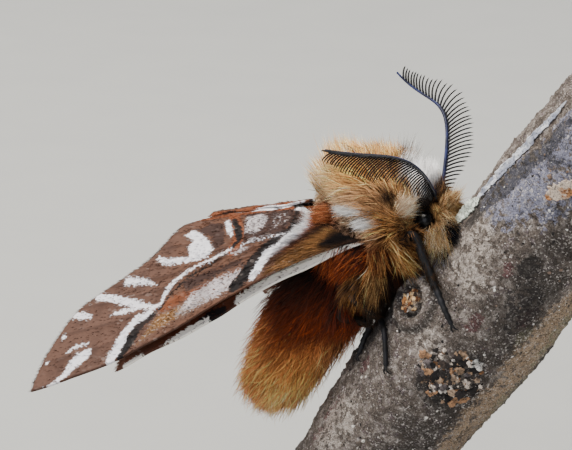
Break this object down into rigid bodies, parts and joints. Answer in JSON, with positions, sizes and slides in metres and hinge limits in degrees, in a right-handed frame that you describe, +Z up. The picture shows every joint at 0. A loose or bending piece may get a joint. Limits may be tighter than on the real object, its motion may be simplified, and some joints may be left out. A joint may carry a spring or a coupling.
{
  "type": "kentish glory moth model on a branch perch",
  "caption": "Still life-size model of a male kentish glory moth, wings held like a roof, gripping a short leaning branch on a small flat stand.",
  "frame": {"origin": "middle of the base's underside, on the surface that the stand rests on", "axes": "+Z up, +X the way the moth's head points, +Y to the moth's left"},
  "size_m": [0.0469, 0.034, 0.0403],
  "materials": {
    "tan_fur": "long soft golden tan hair",
    "red_brown_fur": "long soft red-brown hair",
    "wing_scales": "matt scales in brown, orange, black and white",
    "pale_wing_scales": "matt orange-buff scales with a white front edge",
    "black_shell": "blue-black, slight sheen",
    "eye_shell": "glossy black",
    "bark": "rough speckled grey-brown bark",
    "stand_metal": "satin black"
  },
  "bodies": {
    "root": {"thorax": "tan_fur", "head": "tan_fur", "abdomen": "red_brown_fur", "eye_right": "eye_shell", "eye_left": "eye_shell", "antenna_right": "black_shell", "antenna_left": "black_shell", "forewing_right": "wing_scales", "forewing_left": "wing_scales", "hindwing_right": "pale_wing_scales", "hindwing_left": "pale_wing_scales", "leg_fore_right": "black_shell", "leg_fore_left": "black_shell", "leg_mid_right": "black_shell", "leg_mid_left": "black_shell", "leg_hind_right": "black_shell", "leg_hind_left": "black_shell", "perch": "bark", "stand_rod": "stand_metal", "stand_base": "stand_metal"}
  },
  "joints": []
}
